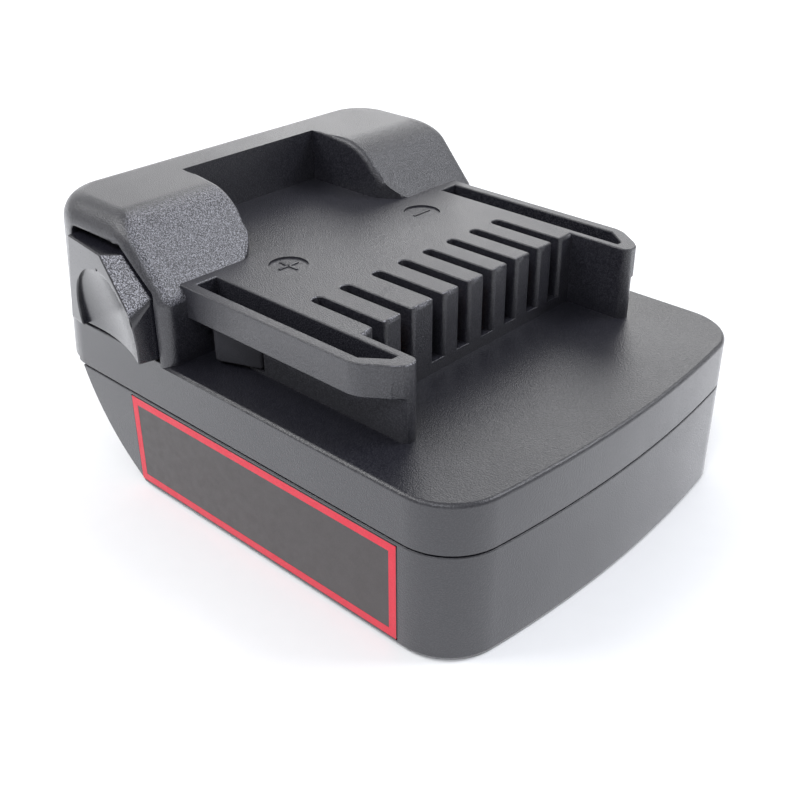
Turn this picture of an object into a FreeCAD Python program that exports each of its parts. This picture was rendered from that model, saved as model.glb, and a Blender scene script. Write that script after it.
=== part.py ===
import FreeCAD, Part
import math
import os
from FreeCAD import Vector

# A slide-in battery adapter. A pack slides into the underside from the tail, and the top slides
# into a tool nose first. Millimetres. +X to the nose, +Y to the left, +Z up, z = 0 on the bottom rim.

os.makedirs("parts", exist_ok=True)

# Outside of the two housings
body_width = 76.0
nose_tip_x = 49.0
tail_x = -49.0
nose_bow_radius = 210.0
nose_corner_radius = 10.0
tail_corner_radius = 9.5
tail_lean = 6.9
tail_underside = 19.6
wall = 2.4
seam_height = 18.75
seam_gap = 0.2
tongue_height = 1.7
groove_depth = 2.0
deck_height = 27.5
deck_edge_width = 0.45
foot_edge_width = 0.6

# Rails, platform and contact slots on top
rail_top_height = 40.4
rail_flange_thickness = 5.4
rail_inner_half_width = 26.0
rail_web_thickness = 2.8
rail_overhang = 4.5
rail_front_x = 29.5
rail_chamfer_length = 6.0
rail_chamfer_width = 4.6
rail_corner_radius = 1.4
rail_web_radius = 1.25
rail_nose_step = 1.5
rail_pocket_depth = 4.0
rail_pocket_rear_x = -13.2
rail_pocket_front_x = 26.4
rail_pocket_rim = 1.9
rail_pocket_width = 4.0
rail_pocket_front_width = 1.1
block_front_x = 18.1
slot_width = 2.2
slot_rear_x = 4.1
slot_pitch = 6.1
slot_count = 8
slot_key_gap = 1.1
slot_row_offset = -0.35
slot_floor_height = 29.5
pocket_wall = 1.9
finger_edge_width = 0.5
mark_radius = 3.3
mark_depth = 0.3
mark_x = -8.3
mark_y = 16.3

# Hump at the tail
hump_height = 50.0
hump_edge_radius = 4.5
hump_side_radius = 2.3
hump_crown_radius = 10.0
hump_slope = 48.0
hump_foot_x = -15.1
hump_face_x = -13.6
recess_half_width = 15.5
recess_back_x = -35.9
recess_straight_x = -21.5
recess_mouth_radius = 6.7
hump_split_length = 20.0

# Squeeze latches
latch_travel = 3.2
latch_floor_height = 27.9
latch_opening_rear_x = -40.9
latch_opening_front_x = -15.9
latch_opening_rear_lean = 13.0
latch_opening_slant = 41.3
latch_opening_top = 46.0
latch_opening_knee_height = 39.6
latch_opening_corner = 1.2
latch_opening_knee_radius = 2.0
latch_side_gap = 0.5
latch_sill_gap = 0.4
latch_knee_gap = 0.7
latch_head_gap = 1.3
latch_face_rear = 38.4
latch_face_slope = 0.129
latch_reach = 6.0
latch_front_taper = 0.24
latch_slant_taper = 1.0
latch_knee_radius = 1.5
latch_knee_outer_radius = 7.0
dish_x = -33.0
dish_z = 29.8
dish_bottom = 38.0
dish_radius = 40.0
dish_rim_radius = 9.3
dish_rim_x = -27.4
dish_rim_z = 31.9
latch_flange_thickness = 1.8
latch_flange_gap = 0.4
latch_flange_sill_lap = 1.6
latch_flange_head_lap = 1.0
latch_stem_radius = 2.0
latch_stem_clearance = 0.06
latch_stem_x = -30.0
latch_stem_z = 33.0
latch_stem_tip = 13.0
latch_arm_thickness = 2.6
latch_arm_clearance = 0.4
latch_arm_gap = 1.6
latch_arm_width = 8.0
claw_rear_x = -10.0
claw_length = 8.3
claw_reach = 2.8
claw_flat = 1.4
claw_edge = 0.4
claw_sill_gap = 0.4
claw_head_gap = 0.6
claw_window_rear_x = -13.2
guide_wall_half = 19.0
guide_wall_reach = 6.0
stop_clearance = 0.1
stop_length = 4.0
spring_radius = 3.1
spring_wire_radius = 0.4
spring_turns = 7

# Receiver for the battery pack, in the lower housing
receiver_half_width = 31.0
receiver_mouth_half_width = 27.5
receiver_lip_height = 3.4
receiver_height = 11.5
receiver_roof_thickness = 2.0
receiver_stop_x = 34.0
receiver_side_wall = 2.0
chin_radius = 38.0
chin_foot_x = -24.0
chin_top_x = -40.3
tail_floor_lap = 3.0
tail_step = 1.0
tail_step_gap = 0.4
catch_half_width = 6.5
catch_rear_x = -31.0
catch_front_x = -22.0
catch_depth = 3.6
rib_thickness = 1.4
rib_pitch = 18.0

# Contacts, board, wires and fasteners inside
board_thickness = 1.6
board_rear_x = -4.0
board_front_x = 17.0
board_half_width = 23.5
board_height = 24.9
board_margin = 0.6
clip_strip = 0.5
clip_length = 8.4
clip_rear_x = 5.8
clip_half_width = 1.7
clip_height = 9.0
clip_pinch = 0.35
clip_flare = 0.9
clip_tab_length = 1.2
clip_tab_reach = 0.8
clip_straight_share = 0.3
clip_pinch_share = 0.72
clip_tab_rear = 1.0
clip_tab_front = 3.2
clip_leaf_lift = 1.0
pocket_clearance = 0.35
resistor_radius = 0.9
resistor_half_length = 2.1
resistor_lead_width = 0.6
lead_spare = 0.5
resistor_lead_y = 4.2
resistor_x = -2.0
blade_thickness = 0.8
blade_height = 5.2
blade_bottom = 5.2
blade_tip_x = 9.0
blade_tip_slant = 1.4
blade_tip_chamfer = 0.28
tail_front_x = 30.0
tail_length = 4.0
tail_rise = 0.9
pad_width = 3.4
power_blade_y = 14.0
signal_blade_y = 5.0
terminal_block_rear_x = 22.0
terminal_block_half_width = 19.0
terminal_block_bottom = 4.2
terminal_block_chamfer = 1.0
fin_length = 7.0
fit_clearance = 0.1
power_wire_radius = 1.2
signal_wire_radius = 0.7
wire_bend_radius = 4.2
wire_sides = 6
wire_bend_steps = 3
plain_sides = 10
wire_pad_x = 15.2
housing_screw_radius = 1.5
housing_screw_head_radius = 2.8
housing_screw_head_height = 2.2
housing_screw_length = 9.0
driver_cross_width = 3.4
driver_cross_thickness = 0.6
driver_cross_depth = 1.2
nose_screw_x = 40.0
nose_screw_y = 22.0
tail_screw_x = -22.5
tail_screw_y = 12.5
boss_radius = 3.2
board_boss_radius = 2.4
pilot_spare = 2.0
screw_wall = 1.4
small_screw_radius = 1.0
small_screw_head_radius = 1.9
small_screw_head_height = 1.4
small_screw_length = 6.0
board_screw_x = -0.4
board_screw_y = 12.4
block_screw_x = 27.0
block_screw_y = 8.2

# Label on the right side
label_rear_x = -25.8
label_front_x = 36.0
label_bottom = 1.1
label_top = 18.2
label_thickness = 0.3
label_corner_radius = 0.6
label_recess = 0.25

# Places that follow from the sizes above
half_width = body_width / 2
rail_web_half_width = rail_inner_half_width + rail_web_thickness
rail_half_width = rail_web_half_width + rail_overhang
flange_underside = rail_top_height - rail_flange_thickness
deck_underside = deck_height - wall
platform_underside = rail_top_height - wall
roof_top = receiver_height + receiver_roof_thickness
web_inner = rail_web_half_width - wall - fit_clearance
nose_pillar_top = seam_height - 1.0
nose_screw_seat = nose_pillar_top - 2 * wall
board_top = board_height + board_thickness
side_inner = half_width - wall
latch_flange_outer = side_inner - latch_flange_gap
latch_flange_inner = latch_flange_outer - latch_flange_thickness
latch_relief = latch_flange_inner - latch_travel - latch_side_gap
latch_arm_outer = web_inner - latch_arm_clearance
latch_arm_inner = latch_arm_outer - latch_arm_thickness
pocket_wall_x = slot_rear_x - pocket_wall
hump_split_x = hump_face_x - hump_split_length
merge = 0.5
far = 200.0


def box(x0, x1, y0, y1, z0, z1):
    return Part.makeBox(x1 - x0, y1 - y0, z1 - z0, Vector(x0, y0, z0))


def upright(radius, x, y, z0, z1):
    return Part.makeCylinder(radius, z1 - z0, Vector(x, y, z0))


def across(radius, x, z, y0, y1):
    return Part.makeCylinder(radius, y1 - y0, Vector(x, y0, z), Vector(0, 1, 0))


def side_slab(points, y0, y1):
    # A prism across the width, from an outline in X and Z
    wire = Part.makePolygon([Vector(x, y0, z) for x, z in points + points[:1]])
    return Part.Face(wire).extrude(Vector(0, y1 - y0, 0))


def plan_slab(points, z0, z1):
    # An upright prism, from an outline in X and Y
    wire = Part.makePolygon([Vector(x, y, z0) for x, y in points + points[:1]])
    return Part.Face(wire).extrude(Vector(0, 0, z1 - z0))


def ring_points(radius, sides):
    # The corners of a flat-sided ring about a centre
    turns = [2 * math.pi * number / sides for number in range(sides)]
    return [(radius * math.cos(turn), radius * math.sin(turn)) for turn in turns]


def same_area(radius, sides):
    # Where a flat-sided section has its corners when it has a round one's area
    step = 2 * math.pi / sides
    return radius * math.sqrt(step / math.sin(step))


def upright_post(radius, x, y, z0, z1):
    # A flat-sided post, which takes fewer facets than a round one
    return plan_slab([(x + a, y + b) for a, b in ring_points(radius, plain_sides)], z0, z1)


def across_post(radius, x, z, y0, y1):
    return side_slab([(x + a, z + b) for a, b in ring_points(radius, plain_sides)], y0, y1)


def other_side(shape):
    return shape.mirror(Vector(0, 0, 0), Vector(0, 1, 0))


def both_sides(shape):
    return shape.fuse(other_side(shape))


def joined(shapes):
    return shapes[0].multiFuse(shapes[1:]).removeSplitter()


def arc_edge(centre, radius, start, end, place):
    # An arc about a plan or side centre, from one angle to the other in degrees
    points = []
    for angle in (start, (start + end) / 2, end):
        turn = math.radians(angle)
        points.append(place(centre[0] + radius * math.cos(turn), centre[1] + radius * math.sin(turn)))
    return Part.Arc(*points).toShape()


def chained(arcs):
    # Joins arcs that follow each other with straight lines into one closed face
    edges = []
    for number, arc in enumerate(arcs):
        following = arcs[(number + 1) % len(arcs)]
        edges.append(arc)
        start = arc.valueAt(arc.LastParameter)
        end = following.valueAt(following.FirstParameter)
        if start.distanceToPoint(end) > 1e-6:
            edges.append(Part.makeLine(start, end))
    return Part.Face(Part.Wire(edges))


def body_plan(inset, z):
    # The outline seen from above: bowed nose, rounded nose corners and rounded tail corners
    def place(x, y):
        return Vector(x, y, z)

    corner_y = half_width - nose_corner_radius
    bow_x = nose_tip_x - nose_bow_radius
    corner_x = bow_x + math.sqrt((nose_bow_radius - nose_corner_radius) ** 2 - corner_y ** 2)
    bow_end = math.degrees(math.atan2(corner_y, corner_x - bow_x))
    tail_centre_x = tail_x + tail_corner_radius
    tail_centre_y = half_width - tail_corner_radius
    nose_radius = nose_corner_radius - inset
    tail_radius = tail_corner_radius - inset
    return chained([
        arc_edge((corner_x, -corner_y), nose_radius, -90, -bow_end, place),
        arc_edge((bow_x, 0), nose_bow_radius - inset, -bow_end, bow_end, place),
        arc_edge((corner_x, corner_y), nose_radius, bow_end, 90, place),
        arc_edge((tail_centre_x, tail_centre_y), tail_radius, 90, 180, place),
        arc_edge((tail_centre_x, -tail_centre_y), tail_radius, 180, 270, place),
    ])


def body_prism(inset, z0, z1):
    return body_plan(inset, z0).extrude(Vector(0, 0, z1 - z0))


def tail_at(z, inset=0.0):
    # The tail leans in towards the top from its lowest edge
    lean = math.radians(tail_lean)
    return tail_x + (z - tail_underside) * math.tan(lean) + inset / math.cos(lean)


def slope_height(x, inset):
    # Height of the hump's front slope, or of its inner side, above a place in X
    slope = math.radians(hump_slope)
    return rail_top_height + (-inset - math.sin(slope) * (x - hump_foot_x)) / math.cos(slope)


def hump_block(inset, bottom):
    # The hump from side to side: leaning tail, flat top, round crown, front slope and upright face
    slope = math.radians(hump_slope)
    radius = hump_crown_radius - inset
    crown_z = hump_height - hump_crown_radius
    drop = math.cos(slope) * (crown_z - rail_top_height)
    crown_x = hump_foot_x - (hump_crown_radius + drop) / math.sin(slope)
    face_x = hump_face_x - inset
    top = hump_height - inset
    side = half_width - inset

    def place(x, z):
        return Vector(x, -side, z)

    crown = arc_edge((crown_x, crown_z), radius, 90, 90 - hump_slope, place)
    corners = Part.makePolygon([
        place(crown_x + radius * math.sin(slope), crown_z + radius * math.cos(slope)),
        place(face_x, slope_height(face_x, inset)),
        place(face_x, bottom),
        place(tail_at(bottom, inset), bottom),
        place(tail_at(top, inset), top),
        place(crown_x, top),
    ])
    return Part.Face(Part.Wire([crown] + corners.Edges)).extrude(Vector(0, 2 * side, 0))


def edges_where(shape, test):
    # The edges whose every end passes the test
    return [edge for edge in shape.Edges if all(test(vertex.Point) for vertex in edge.Vertexes)]


def rise(edge):
    return abs(edge.Vertexes[0].Point.z - edge.Vertexes[-1].Point.z)


def round_tail(block, inset):
    # Rounds the two leaning corners at the tail
    leaning = edges_where(block, lambda p: abs(p.x - tail_at(p.z, inset)) < 0.01)
    return block.makeFillet(tail_corner_radius - inset, [edge for edge in leaning if rise(edge) > 1])


def rounded_hump():
    # Its edges are rounded: wide round the flat top, and narrower down the slope and the upright face
    block = round_tail(hump_block(0.0, seam_height), 0.0)

    def is_rim(edge):
        first = edge.Vertexes[0].Point
        last = edge.Vertexes[-1].Point
        along_side = abs(first.y - last.y) < 0.01 and abs(abs(first.y) - half_width) < 0.01
        at_tail = max(first.x, last.x) < recess_back_x + 1
        at_bottom = max(first.z, last.z) < seam_height + 0.01
        side_rim = along_side and not at_bottom and not (at_tail and rise(edge) > 1)
        tail_rim = at_tail and min(first.z, last.z) > hump_height - 0.01 and abs(first.y - last.y) > 1
        at_face = min(first.x, last.x) > hump_face_x - 0.01
        slope_foot = at_face and not at_bottom and abs(first.y - last.y) > 1
        return side_rim or tail_rim or slope_foot

    rows = []
    for number, edge in enumerate(block.Edges):
        if is_rim(edge):
            ends = [hump_edge_radius if edge.valueAt(share).z > hump_height - 0.01 else hump_side_radius
                    for share in (edge.FirstParameter, edge.LastParameter)]
            if edge.Orientation == "Reversed":
                ends.reverse()
            rows.append((number + 1, ends[0], ends[1]))
    return rounded_by_number(block, rows)


def rounded_by_number(shape, rows):
    # Rounds edges given by number, each with a radius at its start and one at its end
    document = FreeCAD.newDocument("rounding")
    base = document.addObject("Part::Feature", "base")
    base.Shape = shape
    rounding = document.addObject("Part::Fillet", "rounding")
    rounding.Base = base
    rounding.Edges = rows
    document.recompute()
    result = rounding.Shape.copy()
    FreeCAD.closeDocument(document.Name)
    return result


def hump_cavity():
    return round_tail(hump_block(wall, seam_height - 1), wall)


def recess_block(grow, bottom):
    # The finger recess between the lobes, or the same grown by the wall
    def place(x, y):
        return Vector(x, y, bottom)

    half = recess_half_width + grow
    centre_y = recess_half_width + recess_mouth_radius
    radius = recess_mouth_radius - grow
    back_x = recess_back_x - grow
    right = arc_edge((recess_straight_x, -centre_y), radius, 90, 0, place)
    left = arc_edge((recess_straight_x, centre_y), radius, 0, -90, place)
    back = Part.makePolygon([place(recess_straight_x, half), place(back_x, half), place(back_x, -half),
                             place(recess_straight_x, -half)])
    mouth_x = recess_straight_x + radius
    mouth = Part.makePolygon([place(mouth_x, -centre_y), place(rail_front_x, -centre_y),
                              place(rail_front_x, centre_y), place(mouth_x, centre_y)])
    edges = Part.__sortEdges__(back.Edges + [right] + mouth.Edges + [left])
    return Part.Face(Part.Wire(edges)).extrude(Vector(0, 0, far))


def slot_places():
    # Middles of the contact slots across the width, with one wider finger after the second slot
    span = slot_pitch * (slot_count - 1) + slot_key_gap
    places = []
    for number in range(slot_count):
        key = slot_key_gap if number >= 2 else 0.0
        places.append(slot_row_offset - span / 2 + slot_pitch * number + key)
    return places


def contact_places():
    slots = slot_places()
    return {"positive": slots[1], "temperature": slots[3], "identity": slots[4], "negative": slots[6]}


def rounded_nose(slab, radius, test):
    # Rounds the upright edges of a slab that pass the test
    return slab.makeFillet(radius, [edge for edge in edges_where(slab, test) if rise(edge) > 1])


def rail_flange():
    # The overhanging top of the left rail, slanted and rounded at its front
    rear = hump_face_x - wall
    slant_x = rail_front_x - rail_nose_step
    slant_y = rail_half_width - rail_chamfer_width + rail_nose_step
    points = [(rear, rail_inner_half_width), (rear, rail_half_width)]
    points += [(rail_front_x - rail_chamfer_length, rail_half_width), (slant_x, slant_y)]
    points += [(rail_front_x, slant_y - rail_nose_step), (rail_front_x, rail_inner_half_width)]
    slab = plan_slab(points, flange_underside, rail_top_height)
    slab = rounded_nose(slab, rail_corner_radius, at_inner_front)
    return rounded_nose(slab, rail_nose_step, lambda p: p.x > slant_x - 0.1 and p.y > slant_y - 0.1)


def at_inner_front(point):
    return point.x > rail_front_x - 0.1 and point.y < rail_inner_half_width + 0.1


def at_outer_front(point):
    return point.x > rail_front_x - 0.1 and point.y > rail_web_half_width - 0.1


def rail_post():
    # The web that carries the flange, down to the deck
    slab = box(hump_face_x - wall, rail_front_x, rail_inner_half_width, rail_web_half_width,
               deck_height - merge, flange_underside + merge)
    slab = rounded_nose(slab, rail_web_radius, at_outer_front)
    return rounded_nose(slab, rail_corner_radius, at_inner_front)


def rail_pocket():
    # The long open pocket in the rail's top, slanted at its front like the rail
    outer = rail_half_width - rail_pocket_rim
    inner = outer - rail_pocket_width
    slant = rail_pocket_width - rail_pocket_front_width
    rear, front = rail_pocket_rear_x, rail_pocket_front_x
    shoulder = front - slant * rail_chamfer_length / rail_chamfer_width
    points = [(rear, inner), (rear, outer), (shoulder, outer), (front, outer - slant), (front, inner)]
    return plan_slab(points, rail_top_height - rail_pocket_depth, rail_top_height + 1)


def finger_block():
    # The solid block with the contact slots, its fingers with slanted edges at their front
    reach = rail_inner_half_width + merge
    block = box(pocket_wall_x, block_front_x, -reach, reach, board_top, rail_top_height)
    for y in slot_places():
        block = block.cut(contact_slot(y))

    def on_front(point):
        return point.x > block_front_x - 0.01 and point.z > slot_floor_height - 0.01

    front = [edge for edge in edges_where(block, on_front) if edge.BoundBox.ZMax > slot_floor_height + 1]
    front = [edge for edge in front if abs(edge.CenterOfMass.y) < reach - 0.01]
    return block.makeChamfer(finger_edge_width, front)


def contact_slot(y):
    radius = slot_width / 2
    low = slot_floor_height
    high = rail_top_height + 1
    groove = box(slot_rear_x + radius, block_front_x + wall, y - radius, y + radius, low, high)
    return groove.fuse(upright(radius, slot_rear_x + radius, y, low, high))


def clip_pocket(y):
    # The room for a clip under its slot
    reach = clip_half_width + clip_strip + pocket_clearance
    rear = clip_rear_x - pocket_clearance
    front = clip_rear_x + clip_length + pocket_clearance
    return box(rear, front, y - reach, y + reach, board_top - 1, board_top + clip_height + pocket_clearance)


def latch_outline(side, sill, knee_drop, head):
    # The latch opening seen from the side, or an outline drawn in from it by the given gaps:
    # rear bottom, front bottom, front knee, front top, rear top
    rear = latch_opening_rear_x + side
    front = latch_opening_front_x - side
    top = latch_opening_top - head
    knee = latch_opening_knee_height - knee_drop
    top_front = front - (top - knee) / math.tan(math.radians(latch_opening_slant))
    top_rear = rear + (top - latch_floor_height) * math.tan(math.radians(latch_opening_rear_lean))
    low = latch_floor_height + sill
    return [(rear, low), (front, low), (front, knee), (top_front, top), (top_rear, top)]


def latch_opening():
    opening = side_slab(latch_outline(0.0, 0.0, 0.0, 0.0), latch_relief, half_width + 5)
    opening = opening.makeFillet(latch_opening_corner, edges_across(opening, latch_opening_top))
    return opening.makeFillet(latch_opening_knee_radius, edges_across(opening, latch_opening_knee_height))


def edges_across(shape, z):
    # The straight edges across the width at a height
    return [edge for edge in edges_where(shape, lambda p: abs(p.z - z) < 0.01)
            if abs(edge.Vertexes[0].Point.y - edge.Vertexes[-1].Point.y) > 1]


def claw_window():
    # The window in the groove's wall that the claw comes out of
    front = claw_rear_x + claw_length + latch_side_gap
    return box(claw_window_rear_x, front, web_inner - 1, rail_web_half_width + 1,
               latch_floor_height, flange_underside - fit_clearance)


def upper_skirt():
    skirt = body_prism(0.0, seam_height + seam_gap, deck_height)
    rim = [edge for edge in edges_where(skirt, lambda p: p.z > deck_height - 0.01) if edge.BoundBox.XMax > 0]
    return skirt.makeChamfer(deck_edge_width, rim).common(box(hump_split_x, far, -far, far, -far, far))


def upper_cavity():
    # Everything hollow inside the upper housing
    low = seam_height - 1
    skirt = body_prism(wall, low, deck_underside).common(box(hump_split_x, far, -far, far, -far, far))
    platform = box(hump_face_x - 3 * wall, pocket_wall_x, -web_inner, web_inner, low, platform_underside)
    board_space = box(hump_face_x, board_front_x + board_margin, -web_inner, web_inner, low, board_top)
    return joined([hump_cavity(), skirt, platform, board_space])


def latch_guide():
    # A wall with a bore for the stem, which is also the spring's seat
    guide = box(latch_stem_x - guide_wall_reach, latch_stem_x + guide_wall_reach, guide_wall_half - wall,
                guide_wall_half, latch_stem_z - guide_wall_reach, platform_underside + merge)
    bore = across(latch_stem_radius + latch_stem_clearance, latch_stem_x, latch_stem_z, 0, half_width)
    return guide.cut(bore)


def latch_stop():
    # A rib that the arm meets at the end of its travel
    inner = latch_arm_inner - latch_travel - stop_clearance
    return box(tail_screw_x - stop_length / 2, tail_screw_x + stop_length / 2, inner - wall, inner,
               latch_floor_height, platform_underside + merge)


def tail_floor():
    # The floor under the hump's tail, above the open end of the receiver
    seam = seam_height + seam_gap
    step_x = chin_top_x - tail_step_gap
    inner = chin_top_x + tail_floor_lap
    points = [(tail_at(tail_underside) + merge, tail_underside), (step_x - tail_step, tail_underside)]
    points += [(step_x, seam), (inner, seam), (inner, seam + wall)]
    points += [(tail_at(seam + wall) + merge, tail_underside + wall)]
    return side_slab(points, -half_width, half_width).common(body_prism(merge, 0, far))


def upper_bosses():
    nose = upright_post(boss_radius, nose_screw_x, nose_screw_y, nose_pillar_top, deck_underside + merge)
    tail = upright_post(boss_radius, tail_screw_x, tail_screw_y, roof_top + wall + fit_clearance,
                        platform_underside + merge)
    board = upright_post(board_boss_radius, board_screw_x, board_screw_y, board_top,
                         platform_underside + merge)
    return both_sides(nose.fuse(tail).fuse(board))


def upper_pilots():
    # The bores have the screws' flat sides
    nose = upright_post(housing_screw_radius, nose_screw_x, nose_screw_y, seam_height - 2,
                        deck_underside - merge)
    tail = upright_post(housing_screw_radius, tail_screw_x, tail_screw_y, roof_top,
                        roof_top + housing_screw_length + pilot_spare)
    board = upright_post(small_screw_radius, board_screw_x, board_screw_y, board_height,
                         board_top + small_screw_length)
    return both_sides(nose.fuse(tail).fuse(board))


def seam_ring(outer_inset, inner_inset, z0, z1):
    ring = body_prism(outer_inset, z0, z1).cut(body_prism(inner_inset, z0 - 1, z1 + 1))
    return ring.common(box(chin_top_x + tail_floor_lap + 1, far, -far, far, -far, far))


def make_upper_housing():
    rails = both_sides(rail_flange().fuse(rail_post()))
    platform = box(hump_face_x - wall, slot_rear_x - merge, -rail_web_half_width, rail_web_half_width,
                   deck_height - merge, rail_top_height)
    shell = joined([rounded_hump(), upper_skirt(), platform, rails])
    shell = shell.cut(recess_block(0.0, rail_top_height))
    shell = shell.cut(upper_cavity().cut(recess_block(wall, platform_underside)))
    shell = shell.cut(box(-far, far, -far, far, -far, seam_height + seam_gap))
    shell = shell.cut(box(-far, chin_top_x - tail_step - tail_step_gap, -far, far, -far, tail_underside))
    shell = joined([shell, finger_block(), both_sides(latch_guide()), both_sides(latch_stop()), tail_floor(),
                    upper_bosses()])
    cuts = [both_sides(rail_pocket()), both_sides(latch_opening()), both_sides(claw_window()), upper_pilots()]
    cuts += [clip_pocket(y) for y in contact_places().values()]
    cuts += [upright(mark_radius, mark_x, y, rail_top_height - mark_depth, far) for y in (-mark_y, mark_y)]
    cuts += [seam_ring(wall / 2, wall + 1, seam_height - 1, seam_height + groove_depth)]
    for cutter in cuts:
        shell = shell.cut(cutter)
    return shell


def chin_space(inset):
    # What lies behind the chin: the round slanted end of the lower housing's sides
    run = chin_foot_x - chin_top_x
    chord = math.hypot(run, seam_height)
    offset = math.sqrt(chin_radius ** 2 - (chord / 2) ** 2)
    centre_x = (chin_top_x + chin_foot_x) / 2 + offset * seam_height / chord
    centre_z = seam_height / 2 + offset * run / chord
    round_end = across(chin_radius - inset, centre_x, centre_z, -far, far)
    return round_end.fuse(box(chin_foot_x + inset, far, -far, far, -far, far))


def receiver_cut():
    channel = box(-far, receiver_stop_x, -receiver_half_width, receiver_half_width,
                  receiver_lip_height, receiver_height)
    mouth = box(-far, receiver_stop_x, -receiver_mouth_half_width, receiver_mouth_half_width, -1,
                receiver_lip_height + 1)
    return channel.fuse(mouth)


def lower_cores():
    # Cored pockets, open at the top, between the receiver and the outer wall
    channel_wall = receiver_half_width + receiver_side_wall
    hollow = body_prism(wall, wall, far).common(chin_space(wall))
    hollow = hollow.cut(box(-far, receiver_stop_x + wall, -channel_wall, channel_wall, -1, roof_top))
    count = int((receiver_stop_x - chin_foot_x) / rib_pitch) + 1
    for number in range(count):
        x = chin_foot_x + rib_pitch * (number + 0.5)
        hollow = hollow.cut(box(x, x + rib_thickness, -half_width, half_width, 0, roof_top))
    for y in (-nose_screw_y / 2, 0, nose_screw_y / 2):
        half = rib_thickness / 2
        hollow = hollow.cut(box(receiver_stop_x, nose_tip_x, y - half, y + half, 0, roof_top))
    return hollow


def lower_bosses():
    nose = upright_post(housing_screw_head_radius + screw_wall, nose_screw_x, nose_screw_y, 0.0,
                        nose_pillar_top - fit_clearance)
    tail = upright_post(boss_radius + 1, tail_screw_x, tail_screw_y, receiver_height, roof_top + wall)
    return both_sides(nose.fuse(tail))


def lower_screw_holes():
    head = housing_screw_head_radius + 2 * fit_clearance
    shank = housing_screw_radius + 2 * fit_clearance
    nose = upright(head, nose_screw_x, nose_screw_y, -1, nose_screw_seat)
    nose = nose.fuse(upright_post(shank, nose_screw_x, nose_screw_y, -1, far))
    tail = upright(head, tail_screw_x, tail_screw_y, -1, roof_top)
    tail = tail.fuse(upright_post(shank, tail_screw_x, tail_screw_y, -1, far))
    return both_sides(nose.fuse(tail))


def catch_box(grow):
    # The pocket in the roof that the battery pack's own latch springs into, or its walls
    low = receiver_height if grow else receiver_height - 1
    return box(catch_rear_x - grow, catch_front_x + grow, -catch_half_width - grow, catch_half_width + grow,
               low, receiver_height + catch_depth + grow)


def blade_places():
    return {"positive": -power_blade_y, "temperature": -signal_blade_y, "identity": signal_blade_y,
            "negative": power_blade_y}


def blade_slots():
    # The slots in the roof for the blades' upright tails
    half = blade_thickness / 2 + fit_clearance
    rear = tail_front_x - tail_length - fit_clearance
    front = tail_front_x + fit_clearance
    return [box(rear, front, y - half, y + half, receiver_height - 1, roof_top + 1)
            for y in blade_places().values()]


def make_lower_housing():
    shell = body_prism(0.0, 0.0, seam_height).common(chin_space(0.0))
    foot = edges_where(shell, lambda p: abs(p.z) < 0.01)
    foot = [edge for edge in foot if edge.BoundBox.XMax > chin_foot_x + 1]
    shell = shell.makeChamfer(foot_edge_width, foot)
    shell = shell.cut(receiver_cut()).cut(lower_cores())
    tongue = seam_ring(wall / 2 + fit_clearance, wall, seam_height - 1, seam_height + tongue_height)
    shell = joined([shell, lower_bosses(), catch_box(receiver_roof_thickness), tongue])
    block_holes = both_sides(upright_post(small_screw_radius + fit_clearance, block_screw_x, block_screw_y,
                                          receiver_height - 1, roof_top + 1))
    label_pocket = box(label_rear_x - fit_clearance, label_front_x + fit_clearance, -half_width - 1,
                       -half_width + label_recess, label_bottom - fit_clearance, label_top + fit_clearance)
    for cutter in [catch_box(0), lower_screw_holes(), block_holes, label_pocket] + blade_slots():
        shell = shell.cut(cutter)
    return shell


def latch_face():
    # The finger face: a flat that leans out towards the front, with a round-edged finger dish that
    # opens to the front and bottom
    rear = latch_opening_rear_x - 1
    front = latch_opening_front_x
    low = latch_floor_height - 1
    high = latch_opening_top + 1
    inner = latch_flange_inner
    front_y = latch_face_rear + latch_face_slope * (front - rear)
    flat = plan_slab([(rear, inner), (rear, latch_face_rear), (front, front_y), (front, inner)], low, high)
    bowl = Part.makeSphere(dish_radius, Vector(dish_x, dish_bottom + dish_radius, dish_z))
    rim = across(dish_rim_radius, dish_rim_x, dish_rim_z, inner, far)
    opened = box(dish_rim_x, front + 1, inner, far, low - 1, high + 1)
    return flat.cut(bowl.common(rim.fuse(opened)))


def latch_key():
    # The part that fingers press, drawn in at its front and more at its slanted corner as it comes out
    inner = latch_outline(latch_side_gap, latch_sill_gap, latch_knee_gap, latch_head_gap)
    front_low, top_front, top_rear = inner[1], inner[3], inner[4]
    front = front_low[0] - latch_reach * latch_front_taper
    top_x = top_front[0] - latch_reach * latch_slant_taper
    slant = math.tan(math.radians(latch_opening_slant))
    outer = [inner[0], (front, front_low[1]), (front, top_front[1] - slant * (front - top_x)),
             (top_x, top_front[1]), top_rear]

    sections = [knee_ring(inner, latch_flange_inner, latch_knee_radius),
                knee_ring(inner, half_width, latch_knee_radius),
                knee_ring(outer, half_width + latch_reach, latch_knee_outer_radius)]
    stock = Part.makeLoft(sections[:2], True, True)
    nose = Part.makeLoft(sections[1:], True, True)
    return stock.fuse(nose).common(latch_face())


def knee_ring(points, y, radius):
    # An outline in X and Z, at a place across the width, with its third corner rounded
    places = [Vector(x, y, z) for x, z in points]
    corner = places[2]
    back = unit(places[1].sub(corner))
    ahead = unit(places[3].sub(corner))
    half_angle = back.getAngle(ahead) / 2
    reach = radius / math.tan(half_angle)
    begin = corner.add(back * reach)
    finish = corner.add(ahead * reach)
    middle = corner.add(unit(back.add(ahead)) * (radius / math.sin(half_angle) - radius))
    lines = Part.makePolygon([finish] + places[3:] + places[:2] + [begin])
    return Part.Wire([Part.Arc(begin, middle, finish).toShape()] + lines.Edges)


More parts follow.
